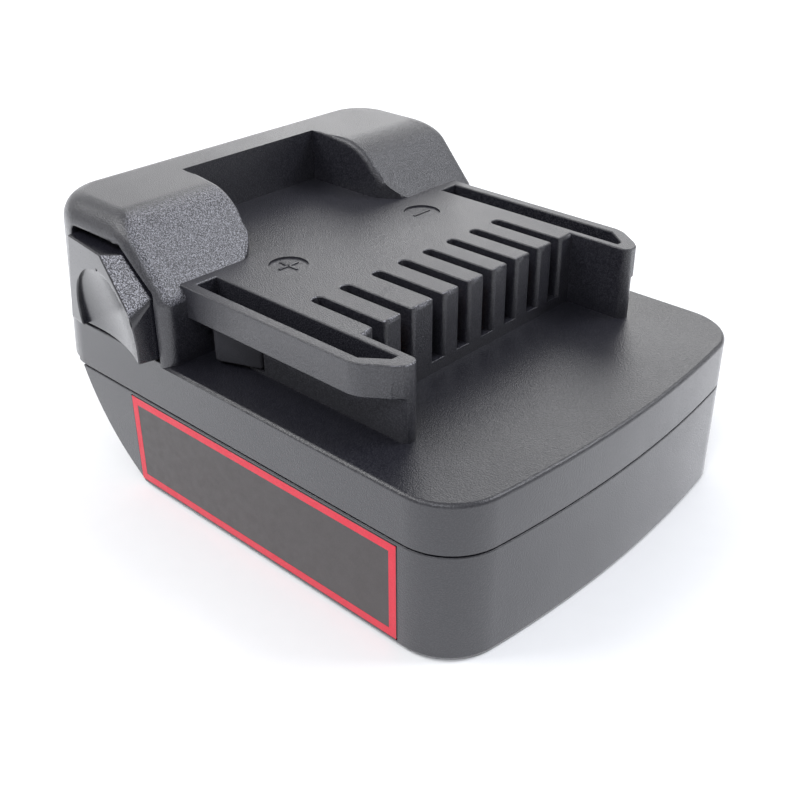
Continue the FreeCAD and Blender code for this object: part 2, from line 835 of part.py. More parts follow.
def latch_flange():
    # The plate behind the opening that keeps the latch in the housing, shaped to the hump's inside
    sill = -latch_flange_sill_lap
    outline = latch_outline(latch_side_gap, sill, latch_knee_gap, latch_head_gap)
    rear, front = outline[0][0], outline[1][0]
    top = latch_opening_top + latch_flange_head_lap
    points = [(rear, outline[0][1]), (front, outline[0][1]), (front, top), (outline[4][0], top)]
    plate = side_slab(points, latch_flange_inner, latch_flange_outer)
    return plate.common(hump_block(wall + latch_flange_gap, seam_height))


def latch_claw():
    # The arm runs forward behind the groove's wall, and the claw reaches out through the window
    low = latch_floor_height + claw_sill_gap
    high = flange_underside - claw_head_gap
    front = claw_rear_x + claw_length
    tip = rail_web_half_width + claw_reach
    root = latch_flange_inner + merge
    bridge_front = hump_face_x - wall - latch_arm_gap
    bridge_rear = bridge_front - latch_arm_width
    points = [
        (bridge_rear, root), (bridge_rear, latch_arm_inner), (front, latch_arm_inner),
        (front, rail_web_half_width), (claw_rear_x + claw_flat, tip), (claw_rear_x + claw_edge, tip),
        (claw_rear_x, tip - claw_edge), (claw_rear_x, latch_arm_outer), (bridge_front, latch_arm_outer),
        (bridge_front, root),
    ]
    return plan_slab(points, low, high)


def latch_stem():
    return across(latch_stem_radius, latch_stem_x, latch_stem_z, latch_stem_tip, latch_flange_inner + merge)


def make_latch_button():
    # Drawn on the left side
    return joined([latch_key(), latch_flange(), latch_claw(), latch_stem()])


def unit(vector):
    return vector.multiply(1.0 / vector.Length)


def make_latch_spring():
    # The spring on the stem, between the guide wall and the latch, drawn as a plain sleeve
    # that is as wide as the coil and holds as much steel as its wire
    length = latch_flange_inner - guide_wall_half
    wire_length = spring_turns * math.hypot(2 * math.pi * spring_radius, length / spring_turns)
    half = wire_length * spring_wire_radius ** 2 / (4 * spring_radius * length)
    outer = same_area(spring_radius + half, plain_sides)
    inner = same_area(spring_radius - half, plain_sides)
    outside = across_post(outer, latch_stem_x, latch_stem_z, guide_wall_half, latch_flange_inner)
    return outside.cut(across_post(inner, latch_stem_x, latch_stem_z, 0, half_width))


def make_output_board():
    board = box(board_rear_x, board_front_x, -board_half_width, board_half_width, board_height, board_top)
    hole_radius = small_screw_radius + fit_clearance
    cuts = [both_sides(upright_post(hole_radius, board_screw_x, board_screw_y, 0, far))]
    gap = fit_clearance
    half = clip_strip / 2 + gap
    for y in contact_places().values():
        for x in clip_tabs():
            cuts.append(box(x - gap, x + clip_tab_length + gap, y - half, y + half, 0, far))
    half = resistor_lead_width / 2 + gap
    for y in (-resistor_lead_y, resistor_lead_y):
        cuts.append(box(resistor_x - half, resistor_x + half, y - half, y + half, 0, far))
    for cutter in cuts:
        board = board.cut(cutter)
    return board


def clip_tabs():
    # Where the two tabs under a clip go through the board
    return (clip_rear_x + clip_tab_rear, clip_rear_x + clip_length - clip_tab_front)


def clip_leaf():
    # One leaf seen from above: straight, bent in to the pinch, then flared out to let the blade in
    rear = clip_rear_x
    line = [(rear, clip_half_width), (rear + clip_length * clip_straight_share, clip_half_width),
            (rear + clip_length * clip_pinch_share, clip_pinch),
            (rear + clip_length, clip_pinch + clip_flare)]
    return line + [(x, y + clip_strip) for x, y in reversed(line)]


def make_clip(y):
    # A fork contact: a spine with two sprung leaves, a foot on the board and two tabs through it
    low = board_top
    high = low + clip_height
    rear = clip_rear_x
    outer = clip_half_width + clip_strip
    half = clip_strip / 2
    leaves = both_sides(plan_slab(clip_leaf(), low + clip_leaf_lift, high))
    spine = box(rear, rear + clip_strip, -outer, outer, low, high)
    foot = box(rear, rear + clip_length - clip_tab_rear, -clip_half_width, clip_half_width, low,
               low + clip_strip)
    tabs = [box(x, x + clip_tab_length, -half, half, board_height - clip_tab_reach, low + clip_strip)
            for x in clip_tabs()]
    clip = joined([leaves, spine, foot] + tabs)
    clip.translate(Vector(0, y, 0))
    return clip


def make_identity_resistor():
    # Lies under the board, with its flat leads bent up through it
    z = board_height - resistor_radius
    half = resistor_lead_width / 2
    low = resistor_x - half
    high = resistor_x + half
    reach = resistor_lead_y + half
    parts = [across(resistor_radius, resistor_x, z, -resistor_half_length, resistor_half_length)]
    parts.append(box(low, high, -reach, reach, z - half, z + half))
    for y in (-resistor_lead_y, resistor_lead_y):
        parts.append(box(low, high, y - half, y + half, z - half, board_top + lead_spare))
    return joined(parts)


def make_terminal_block():
    # The moulded block behind the blades, with guide fins between them
    rear = terminal_block_rear_x
    block = box(rear, receiver_stop_x - fit_clearance, -terminal_block_half_width, terminal_block_half_width,
                terminal_block_bottom, receiver_height)
    block = block.makeChamfer(terminal_block_chamfer,
                              edges_where(block, lambda p: p.z < terminal_block_bottom + 0.01))
    middle = (power_blade_y + signal_blade_y) / 2
    half = rib_thickness / 2
    fins = [box(rear - fin_length, rear + 1, y - half, y + half, blade_bottom, receiver_height)
            for y in (-middle, 0.0, middle)]
    block = joined([block] + fins)
    gap = fit_clearance
    half = blade_thickness / 2 + gap
    for y in blade_places().values():
        block = block.cut(box(rear - 1, tail_front_x + gap, y - half, y + half, blade_bottom - gap,
                              receiver_height + 1))
    pilot_foot = receiver_height - small_screw_length
    pilot = upright_post(small_screw_radius, block_screw_x, block_screw_y, pilot_foot, far)
    return block.cut(both_sides(pilot))


def make_blade(y):
    # A flat blade with a tapered tip, a tail up through the roof and a pad bent over at its top
    half = blade_thickness / 2
    top = blade_bottom + blade_height
    pad_top = wire_start(y).z
    rear = tail_front_x - tail_length
    side = 1 if y < 0 else -1
    tip_x = blade_tip_x + blade_tip_slant
    points = [(blade_tip_x, blade_bottom + blade_tip_slant), (tip_x, blade_bottom)]
    points += [(tail_front_x, blade_bottom), (tail_front_x, pad_top), (rear, pad_top), (rear, top)]
    points += [(tip_x, top), (blade_tip_x, top - blade_tip_slant)]
    blade = side_slab(points, -half, half)
    tip = [edge for edge in edges_where(blade, lambda p: p.x < blade_tip_x + 0.01) if rise(edge) > 1]
    blade = blade.makeChamfer(blade_tip_chamfer, tip)
    ends = sorted([-half * side, (pad_width - half) * side])
    blade = joined([blade, box(rear, tail_front_x, ends[0], ends[1], pad_top - blade_thickness, pad_top)])
    blade.translate(Vector(0, y, 0))
    return blade


def wire_start(y):
    side = 1 if y < 0 else -1
    return Vector(tail_front_x - tail_length / 2, y + side * (pad_width / 2 - blade_thickness / 2),
                  roof_top + tail_rise + blade_thickness)


def wire_section(radius, place):
    # A wire's section with flat sides, of the round wire's area
    ring = ring_points(same_area(radius, wire_sides), wire_sides)
    return Part.makePolygon([place.add(Vector(a, b, 0)) for a, b in ring + ring[:1]])


def bend_points(corner, back, ahead):
    # The places along a right-angled bend, from its start behind the corner to its end ahead of it
    places = []
    for number in range(wire_bend_steps + 1):
        turn = math.pi / 2 * number / wire_bend_steps
        away = Vector(back).multiply(1 - math.sin(turn))
        places.append(corner.add(away).add(Vector(ahead).multiply(1 - math.cos(turn))))
    return places


def make_wire(blade_y, clip_y, radius):
    # An insulated wire from the blade's pad to the board's underside, with two bends of short steps
    start = wire_start(blade_y)
    end = Vector(wire_pad_x, clip_y, board_height)
    level = (start.z + end.z) / 2
    corners = [start, Vector(start.x, start.y, level), Vector(end.x, end.y, level), end]
    bend = min(wire_bend_radius, level - start.z - fit_clearance)
    places = [start]
    for number in (1, 2):
        corner = corners[number]
        back = unit(corners[number - 1].sub(corner)).multiply(bend)
        ahead = unit(corners[number + 1].sub(corner)).multiply(bend)
        places += bend_points(corner, back, ahead)
    places.append(end)
    route = Part.makePolygon(places)
    mitred = 1
    wire = route.makePipeShell([wire_section(radius, start)], True, True, mitred)
    share = wire.Volume / (math.pi * radius * radius * route.Length)
    print("wire length", round(route.Length, 1), "mm, bend radius", round(bend, 1),
          "mm, volume over section times length", round(share, 4))
    return wire


def cross_recess(x, y, z):
    # The driver's cross in a housing screw's head
    arm = driver_cross_width / 2
    thin = driver_cross_thickness / 2
    depth = driver_cross_depth
    along = box(x - arm, x + arm, y - thin, y + thin, z - 1, z + depth)
    return along.fuse(box(x - thin, x + thin, y - arm, y + arm, z - 1, z + depth))


def screw(x, y, head_z, up, sizes):
    # A plain screw with flat sides; up is 1 where its shank points up from the head
    radius, head_radius, head_height, length = sizes
    head = upright_post(head_radius, x, y, 0, head_height)
    body = head.fuse(upright_post(radius, x, y, head_height - fit_clearance, head_height + length))
    if up < 0:
        body = body.mirror(Vector(0, 0, 0), Vector(0, 0, 1))
    body.translate(Vector(0, 0, head_z))
    return body


def make_housing_screws():
    head_height = housing_screw_head_height
    sizes = (housing_screw_radius - fit_clearance / 2, housing_screw_head_radius, head_height,
             housing_screw_length)
    places = [(nose_screw_x, nose_screw_y, nose_screw_seat), (tail_screw_x, tail_screw_y, roof_top)]
    screws = []
    for x, y, seat in places:
        low = seat - head_height
        right = screw(x, -y, low, 1, sizes).cut(cross_recess(x, -y, low))
        screws += [right, other_side(right)]
    return Part.makeCompound(screws)


def small_screw_sizes():
    return (small_screw_radius - fit_clearance / 2, small_screw_head_radius, small_screw_head_height,
            small_screw_length - pilot_spare / 4)


def make_board_screws():
    z = board_height - small_screw_head_height
    return Part.makeCompound([screw(board_screw_x, side * board_screw_y, z, 1, small_screw_sizes())
                              for side in (-1, 1)])


def make_block_screws():
    z = roof_top + small_screw_head_height
    return Part.makeCompound([screw(block_screw_x, side * block_screw_y, z, -1, small_screw_sizes())
                              for side in (-1, 1)])


def make_side_label():
    back = -half_width + label_recess
    plate = box(label_rear_x, label_front_x, back - label_thickness, back, label_bottom, label_top)
    corners = [edge for edge in plate.Edges if abs(edge.Vertexes[0].Point.y - edge.Vertexes[1].Point.y) > 0.1]
    return plate.makeFillet(label_corner_radius, corners)


def save(node, shape):
    shape.exportStep("parts/" + node + ".step")
    print(node, "solids", len(shape.Solids), "valid", shape.isValid(), "volume", round(shape.Volume, 1))


save("upper_housing", make_upper_housing())
save("lower_housing", make_lower_housing())
latch = make_latch_button()
save("latch_button_left", latch)
save("latch_button_right", other_side(latch))
spring = make_latch_spring()
save("latch_spring_left", spring)
save("latch_spring_right", other_side(spring))
save("output_board", make_output_board())
for name, place_y in contact_places().items():
    save(name + "_clip", make_clip(place_y))
for name, place_y in blade_places().items():
    save(name + "_blade", make_blade(place_y))
    wire_radius = power_wire_radius if abs(place_y) == power_blade_y else signal_wire_radius
    save(name + "_wire", make_wire(place_y, contact_places()[name], wire_radius))
save("identity_resistor", make_identity_resistor())
save("input_terminal_block", make_terminal_block())
save("housing_screws", make_housing_screws())
save("board_screws", make_board_screws())
save("block_screws", make_block_screws())
save("side_label", make_side_label())
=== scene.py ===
import math

import bmesh
import bpy
from mathutils import Matrix, Vector
from mathutils.bvhtree import BVHTree


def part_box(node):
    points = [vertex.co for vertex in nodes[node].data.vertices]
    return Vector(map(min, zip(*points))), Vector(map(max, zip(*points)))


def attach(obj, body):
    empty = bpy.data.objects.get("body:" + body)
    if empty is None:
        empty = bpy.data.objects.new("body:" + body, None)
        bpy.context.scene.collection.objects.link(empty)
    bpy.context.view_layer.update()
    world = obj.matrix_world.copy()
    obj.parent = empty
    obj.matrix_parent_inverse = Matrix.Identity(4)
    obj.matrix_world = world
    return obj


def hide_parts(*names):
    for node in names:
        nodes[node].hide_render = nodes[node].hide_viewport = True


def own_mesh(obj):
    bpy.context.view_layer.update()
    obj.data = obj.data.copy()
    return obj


# Looks of a slide-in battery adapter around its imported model. Metres, in the model's own frame:
# +X to the rounded nose, +Y to the left, +Z up, z = 0 on the bottom rim.

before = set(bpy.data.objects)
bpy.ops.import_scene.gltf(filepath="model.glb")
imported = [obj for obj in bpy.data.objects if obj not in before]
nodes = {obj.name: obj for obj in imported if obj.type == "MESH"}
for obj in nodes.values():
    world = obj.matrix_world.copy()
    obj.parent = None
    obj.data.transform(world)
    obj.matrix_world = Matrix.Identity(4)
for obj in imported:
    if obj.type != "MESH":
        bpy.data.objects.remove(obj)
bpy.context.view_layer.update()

MM = 0.001
HOUSING = "housing"

# Places on the upper housing, and directions in which its slope and the latches' slants face
DECK_TOP = 27.5 * MM
FLANGE_UNDERSIDE = 35.0 * MM
PLATFORM_TOP = 40.4 * MM
HUMP_FACE_X = -13.5 * MM
RAIL_SHOULDER_X = 23.0 * MM
RAIL_NOSE_X = 26.0 * MM
RAIL_NOSE_HALF_WIDTH = 27.0 * MM
RECESS_HALF_WIDTH = 15.5 * MM
CROWN_START_X = -28.3 * MM
SLOPE_END_X = -18.6 * MM
SLOPE_WAY = (0.743, 0.0, 0.669)
SLANT_WAYS = ((0.55, -0.55, 0.63), (0.55, 0.55, 0.63))

# Polarity marks in the two round recesses
MARK_X = -8.3 * MM
MARK_Y = 16.3 * MM
MARK_FLOOR = 40.1 * MM
MARK_SIZE = (4.2 * MM, 0.5 * MM, 0.18 * MM)
MARK_ROUNDING = 0.05 * MM
MARK_MIDDLE = 0.08 * MM

# Red frame of the label
LABEL_MARGIN = 0.1 * MM
LABEL_FRAME_WIDTH = 1.4 * MM
LABEL_FRAME_PROUD = 0.02 * MM
LABEL_FRAME_SUNK = 0.1 * MM

# Coils of the latch springs
COIL_WIRE_RADIUS = 0.4 * MM
COIL_RADIUS = 3.1 * MM
COIL_TURNS = 7
COIL_CLOSED_TURNS = 0.9
COIL_STEPS = 28
COIL_SIDES = 10

# Grain of the moulded plastic
FINE_GRAIN = 7000.0
COARSE_GRAIN = 4600.0
GRAIN_DEPTH = 0.1 * MM
SPECK_START = 0.46
SPECK_FULL = 0.6
BLACK_PLASTIC = (0.0075, 0.0075, 0.0115)

# Depth of the other surfaces' bumps
SATIN_DEPTH = 0.05 * MM
FINE_DEPTH = 0.03 * MM
TRACK_DEPTH = 0.04 * MM
PEEL_DEPTH = 0.06 * MM

# Glow of the floor. The camera sees it grow between FLOOR_NEAR's distances from the middle and again
# between FLOOR_FAR's, and reflections see an even one.
FLOOR_NEAR = (0.08, 0.15)
FLOOR_NEAR_GLOW = 0.25
FLOOR_FAR = (0.25, 0.9)
FLOOR_FAR_GLOW = 0.8
FLOOR_MIRRORED_GLOW = 1.12

# Corners this near to each other merge, edges this short go, and faces this flat to each other join
MERGED_WITHIN = 0.002 * MM
SHORTEST_EDGE = 0.001 * MM
FLATTEST = math.radians(0.5)

# Roundings of the upper housing's softest edges, which turn by more than SOFT_ABOVE
SOFT_ABOVE = math.radians(20.0)
SHOULDER_ROUNDING = 1.5 * MM
NOSE_ROUNDING = 0.6 * MM
LOBE_ROUNDING = 1.1 * MM

# Angles above which an edge is rounded, and those above which one is shaded as sharp afterwards
ROUND_ABOVE = math.radians(32.0)
CONVEX_SHARP_ABOVE = math.radians(50.0)
CONCAVE_SHARP_ABOVE = math.radians(30.0)

# Distances from here to BLAMED are shares of the rounding's width. An edge has room where the faces
# beside it go on for ROOM_NEEDED, tested at ROOM_TESTS along it, give or take ROOM_SLACK of the room.
ROOM_NEEDED = 2.2
ROOM_SLACK = 0.25
ROOM_TESTS = (0.15, 0.5, 0.85)

# A new face or corner farther than STRAYED from the old surface is a fault, and a corner farther than
# PULLED_BACK goes back to it. A face within TURNED_NEAR is turned over if it agrees by less than
# TURNED_DOT with every old face about as near as the nearest.
STRAYED = 0.6
PULLED_BACK = 0.75
TURNED_NEAR = 0.2
TURNED_DOT = 0.1
EQUALLY_NEAR = 0.03

# An edge within BLAMED of a fault stays sharp in the next attempt
BLAMED = 1.6
MOST_ATTEMPTS = 12

# Faces under SMALLEST_AREA aren't judged, and SMALLEST_SQUARE keeps an edge of no length from
# dividing by zero
SMALLEST_AREA = 1e-12
SMALLEST_SQUARE = 1e-14


# Materials
class Graph:
    # A material whose shader graph is built by short calls
    def __init__(self, name):
        self.material = bpy.data.materials.new(name)
        self.material.use_nodes = True
        self.tree = self.material.node_tree
        self.tree.nodes.clear()
        self.output = self.tree.nodes.new("ShaderNodeOutputMaterial")

    def add(self, kind, **values):
        node = self.tree.nodes.new("ShaderNode" + kind)
        for key, value in values.items():
            setattr(node, key, value)
        return node

    def link(self, source, target):
        self.tree.links.new(source, target)

    def feed(self, socket, value):
        # A socket takes a link, a colour or a number
        if isinstance(value, bpy.types.NodeSocket):
            self.link(value, socket)
        elif isinstance(value, tuple):
            socket.default_value = value + (1.0,)
        else:
            socket.default_value = value

    def place(self, scale=(1, 1, 1)):
        # Object coordinates, stretched by a scale
        coordinates = self.add("TexCoord")
        mapping = self.add("Mapping")
        mapping.inputs["Scale"].default_value = scale
        self.link(coordinates.outputs["Object"], mapping.inputs["Vector"])
        return mapping.outputs["Vector"]

    def noise(self, where, scale, detail=2.0, roughness=0.5):
        node = self.add("TexNoise")
        node.inputs["Scale"].default_value = scale
        node.inputs["Detail"].default_value = detail
        node.inputs["Roughness"].default_value = roughness
        self.link(where, node.inputs["Vector"])
        return node.outputs["Fac"]

    def spread(self, value, low, high, to_low=0.0, to_high=1.0):
        # A value range mapped onto another one
        node = self.add("MapRange")
        node.inputs["From Min"].default_value = low
        node.inputs["From Max"].default_value = high
        node.inputs["To Min"].default_value = to_low
        node.inputs["To Max"].default_value = to_high
        self.link(value, node.inputs["Value"])
        return node.outputs["Result"]

    def between(self, share, none, full):
        # A value that goes from none to full as a share goes from 0 to 1
        return self.spread(share, 0.0, 1.0, none, full)

    def vary(self, noise, low, high):
        # A value that follows a noise, whose own values mostly lie between 0.3 and 0.7
        return self.spread(noise, 0.3, 0.7, low, high)

    def math(self, operation, first, second=None):
        node = self.add("Math", operation=operation)
        self.feed(node.inputs[0], first)
        if second is not None:
            self.feed(node.inputs[1], second)
        return node.outputs["Value"]

    def plus(self, first, second):
        return self.math("ADD", first, second)

    def times(self, first, *others):
        # Values or shares multiplied together
        for other in others:
            first = self.math("MULTIPLY", first, other)
        return first

    def blend(self, share, first, second):
        # Two colours mixed by a share
        node = self.add("Mix", data_type="RGBA")
        self.feed(node.inputs["Factor"], share)
        self.feed(node.inputs["A"], first)
        self.feed(node.inputs["B"], second)
        return node.outputs["Result"]

    def bump(self, height, strength, distance, normal=None):
        node = self.add("Bump")
        self.feed(node.inputs["Strength"], strength)
        node.inputs["Distance"].default_value = distance
        self.link(height, node.inputs["Height"])
        if normal is not None:
            self.link(normal, node.inputs["Normal"])
        return node.outputs["Normal"]

    def surface(self, color, roughness, normal, metallic=0.0, specular=0.5):
        shader = self.add("BsdfPrincipled")
        self.feed(shader.inputs["Base Color"], color)
        self.feed(shader.inputs["Roughness"], roughness)
        self.feed(shader.inputs["Specular IOR Level"], specular)
        shader.inputs["Metallic"].default_value = metallic
        self.link(normal, shader.inputs["Normal"])
        self.link(shader.outputs["BSDF"], self.output.inputs["Surface"])
        return self.material


def along(graph, axis):
    # Where the surface is along an axis of the frame
    split = graph.add("SeparateXYZ")
    graph.link(graph.place(), split.inputs["Vector"])
    return split.outputs[axis]


def zone(graph, axis, low, high):
    # A share that rises from 0 to 1 between two places along an axis of the frame
    return graph.spread(along(graph, axis), low, high)


def across(graph, inner, outer):
    # A share of 1 between two distances from the middle plane, 0 outside them
    distance = graph.math("ABSOLUTE", along(graph, "Y"))
    fade = 0.1 * MM
    rise = graph.spread(distance, inner - fade, inner)
    fall = graph.spread(distance, outer, outer - fade)
    return graph.times(rise, fall)


def facing(graph, way, low, high):
    # A share that rises as the surface turns towards a direction
    geometry = graph.add("NewGeometry")
    product = graph.add("VectorMath", operation="DOT_PRODUCT")
    graph.link(geometry.outputs["Normal"], product.inputs[0])
    product.inputs[1].default_value = way
    return graph.spread(product.outputs["Value"], low, high)


def before_hump(graph):
    # A share of 1 in front of the hump
    return zone(graph, "X", HUMP_FACE_X, HUMP_FACE_X + 0.2 * MM)


def inside_rail_pocket(graph):
    # The walls of the rail pockets, which keep the mould's dull finish, and whose reflection is turned down
    # as painted shade for the pockets' depth
    below_rim = zone(graph, "Z", PLATFORM_TOP - 0.15 * MM, PLATFORM_TOP - 0.4 * MM)
    above_groove = zone(graph, "Z", FLANGE_UNDERSIDE + 0.5 * MM, FLANGE_UNDERSIDE + 0.8 * MM)
    behind_nose = zone(graph, "X", 25.5 * MM, 25.3 * MM)
    beside = across(graph, 27.2 * MM, 31.8 * MM)
    return graph.times(below_rim, above_groove, before_hump(graph), behind_nose, beside)


def inside_groove(graph):
    # The walls of the rail grooves, dull like the pockets
    above_deck = zone(graph, "Z", DECK_TOP + 0.05 * MM, DECK_TOP + 0.3 * MM)
    below_flange = zone(graph, "Z", FLANGE_UNDERSIDE + 0.1 * MM, FLANGE_UNDERSIDE - 0.2 * MM)
    beside = across(graph, 28.4 * MM, 37.2 * MM)
    return graph.times(above_deck, below_flange, before_hump(graph), beside)


def moulded_grain(graph, where):
    # The mould's fine and coarse grain, and specks where the two together are high
    fine = graph.noise(where, FINE_GRAIN, detail=1.0)
    coarse = graph.noise(where, COARSE_GRAIN, detail=1.0)
    both = graph.plus(graph.times(fine, 0.5), graph.times(coarse, 0.5))
    return fine, coarse, graph.spread(both, SPECK_START, SPECK_FULL)


def housing_plastic():
    # Black moulded plastic with a spark-eroded grain, coarser on the hump and rails. The hump's slope has
    # the coarsest, with pale specks that are a painted glint of the grain, growing stronger to the right.
    graph = Graph("housing_plastic")
    where = graph.place()
    fine, coarse, speck = moulded_grain(graph, where)
    cloud = graph.noise(where, 60.0, detail=3.0, roughness=0.55)
    upper = zone(graph, "Z", DECK_TOP, DECK_TOP + 3.5 * MM)
    slope = graph.times(facing(graph, SLOPE_WAY, 0.76, 0.9), upper)
    # Painted glint: pale specks on the hump's slope, fading out towards the far lobe
    slope_glint = graph.times(slope, zone(graph, "Y", 16.0 * MM, -10.0 * MM))
    strength = graph.plus(graph.between(upper, 0.6, 0.75), graph.between(slope, 0.0, 0.25))
    pale = graph.plus(graph.between(upper, 0.05, 0.12), graph.between(slope_glint, 0.0, 0.85))
    color = graph.blend(graph.times(speck, pale), BLACK_PLASTIC, (0.24, 0.24, 0.27))
    polish = graph.plus(graph.vary(fine, 0.3, 0.38), graph.vary(cloud, -0.03, 0.03))
    pocket = inside_rail_pocket(graph)
    hidden = graph.math("MAXIMUM", pocket, inside_groove(graph))
    roughness = graph.plus(polish, graph.times(hidden, 0.55))
    # Painted shade: the rail pockets' reflection turned down, so that they read as dark as deep shade
    specular = graph.between(pocket, 0.5, 0.08)
    return graph.surface(color, roughness, graph.bump(coarse, strength, GRAIN_DEPTH), specular=specular)


def latch_plastic():
    # Smoother satin plastic, with the coarse grain on the slanted front corner only, and pale specks there
    # as a painted glint
    graph = Graph("latch_plastic")
    where = graph.place()
    fine, coarse, speck = moulded_grain(graph, where)
    cloud = graph.noise(where, 90.0)
    right, left = [facing(graph, way, 0.93, 0.98) for way in SLANT_WAYS]
    slant = graph.math("MAXIMUM", right, left)
    strength = graph.between(slant, 0.08, 1.0)
    # Painted glint: pale specks only where the surface faces the slants
    pale = graph.between(slant, 0.02, 1.0)
    color = graph.blend(graph.times(speck, pale), BLACK_PLASTIC, (0.34, 0.34, 0.38))
    polish = graph.plus(graph.vary(fine, 0.22, 0.3), graph.vary(cloud, -0.02, 0.02))
    roughness = graph.plus(polish, graph.times(inside_groove(graph), 0.6))
    return graph.surface(color, roughness, graph.bump(coarse, strength, GRAIN_DEPTH))


def block_plastic():
    # Satin plastic of the terminal block, clouded a little
    graph = Graph("block_plastic")
    where = graph.place()
    fine = graph.noise(where, 2800.0)
    cloud = graph.noise(where, 120.0)
    color = graph.blend(cloud, (0.04, 0.04, 0.043), (0.055, 0.055, 0.058))
    return graph.surface(color, graph.vary(fine, 0.42, 0.52), graph.bump(fine, 0.12, SATIN_DEPTH))


def metal(name, dark, light, smooth, rough, scale, tarnish=0.0):
    # Drawn or plated metal: fine lines along the work, and soft clouds and spots of tarnish
    graph = Graph(name)
    where = graph.place()
    lines = graph.noise(graph.place((1, 6, 1)), scale, detail=3.0, roughness=0.6)
    cloud = graph.noise(where, 400.0, detail=3.0, roughness=0.55)
    color = graph.blend(graph.spread(cloud, 0.35, 0.7), dark, light)
    if tarnish:
        spots = graph.noise(where, 900.0, detail=4.0, roughness=0.6)
        spotted = graph.spread(spots, 0.6, 0.75, 0.0, tarnish)
        color = graph.blend(spotted, color, tuple(channel * 0.4 for channel in dark))
    roughness = graph.vary(lines, smooth, rough)
    return graph.surface(color, roughness, graph.bump(lines, 0.12, FINE_DEPTH), metallic=1.0)


def insulation(name, color, shade):
    # Silicone insulation with a dull bloom
    graph = Graph(name)
    where = graph.place()
    bloom = graph.noise(where, 500.0, detail=3.0, roughness=0.55)
    fine = graph.noise(where, 3000.0)
    tint = graph.blend(graph.spread(bloom, 0.35, 0.7), color, shade)
    return graph.surface(tint, graph.vary(fine, 0.5, 0.62), graph.bump(fine, 0.1, FINE_DEPTH))


def board_mask():
    # Solder mask over glass laminate, with tracks that show through as raised, lighter lines
    graph = Graph("board")
    where = graph.place()
    weave = graph.noise(where, 1800.0)
    tracks = graph.add("TexBrick")
    tracks.inputs["Scale"].default_value = 220.0
    tracks.inputs["Mortar Size"].default_value = 0.02
    graph.link(where, tracks.inputs["Vector"])
    color = graph.blend(graph.times(tracks.outputs["Fac"], 0.8), (0.03, 0.16, 0.07), (0.06, 0.26, 0.11))
    woven = graph.bump(weave, 0.08, FINE_DEPTH)
    raised = graph.bump(tracks.outputs["Fac"], 0.2, TRACK_DEPTH, woven)
    return graph.surface(color, graph.vary(weave, 0.28, 0.38), raised)


def resistor_lacquer():
    # Tan lacquer with rings of colour
    graph = Graph("resistor_body")
    where = graph.place()
    rings = graph.add("TexWave", wave_type="BANDS", bands_direction="Y")
    rings.inputs["Scale"].default_value = 260.0
    graph.link(where, rings.inputs["Vector"])
    fine = graph.noise(where, 2500.0)
    color = graph.blend(graph.spread(rings.outputs["Fac"], 0.7, 0.8), (0.52, 0.42, 0.28), (0.22, 0.07, 0.03))
    return graph.surface(color, graph.vary(fine, 0.3, 0.4), graph.bump(fine, 0.1, FINE_DEPTH))


def label_film(name, color, shade):
    # Printed film: faint orange peel under a clear laminate
    graph = Graph(name)
    where = graph.place()
    peel = graph.noise(where, 700.0)
    print_grain = graph.noise(where, 3500.0)
    tint = graph.blend(graph.spread(print_grain, 0.35, 0.65), color, shade)
    return graph.surface(tint, graph.vary(peel, 0.42, 0.5), graph.bump(peel, 0.06, PEEL_DEPTH), specular=0.3)


def floor_paper():
    # White sweep: seen by the camera as white, with the object's soft shadow kept
    graph = Graph("white_sweep")
    where = graph.place()
    grain = graph.noise(where, 300.0, detail=3.0)
    shader = graph.add("BsdfDiffuse")
    graph.link(graph.blend(grain, (0.86, 0.86, 0.86), (0.88, 0.88, 0.88)), shader.inputs["Color"])
    glow = graph.add("Emission")
    graph.feed(glow.inputs["Color"], (0.95, 0.96, 1.0))
    path = graph.add("LightPath")
    mirrored = graph.math("MAXIMUM", path.outputs["Is Glossy Ray"], path.outputs["Is Transmission Ray"])
    away = graph.add("VectorMath", operation="LENGTH")
    graph.link(where, away.inputs[0])
    near_glow = graph.spread(away.outputs["Value"], *FLOOR_NEAR, 0.0, FLOOR_NEAR_GLOW)
    far_glow = graph.spread(away.outputs["Value"], *FLOOR_FAR, 0.0, FLOOR_FAR_GLOW)
    seen = graph.times(path.outputs["Is Camera Ray"], graph.plus(near_glow, far_glow))
    graph.link(graph.plus(seen, graph.times(mirrored, FLOOR_MIRRORED_GLOW)), glow.inputs["Strength"])
    both = graph.add("AddShader")
    graph.link(shader.outputs["BSDF"], both.inputs[0])
    graph.link(glow.outputs["Emission"], both.inputs[1])
    graph.link(both.outputs["Shader"], graph.output.inputs["Surface"])
    return graph.material


# Rounding of a node's edges
def is_sharp(edge, limit):
    return len(edge.link_faces) == 2 and edge.calc_face_angle(0.0) > limit


def middle_of(edge):
    return (edge.verts[0].co + edge.verts[1].co) / 2


def mark_of(place):
    # A place to a thousandth of a millimetre, which an edge is known by in the next attempt
    return tuple(round(number, 6) for number in place)


def distance_to(surface, place):
    return surface.find_nearest(place)[3]


def has_room(edge, surface, reach):
    # Whether the faces beside an edge go on for long enough to round it
    for loop in edge.link_loops:
        run = loop.link_loop_next.vert.co - loop.vert.co
        inward = loop.face.normal.cross(run.normalized())
        for share in ROOM_TESTS:
            place = loop.vert.co + run * share + inward * reach
            if distance_to(surface, place) > ROOM_SLACK * reach:
                return False
    return True


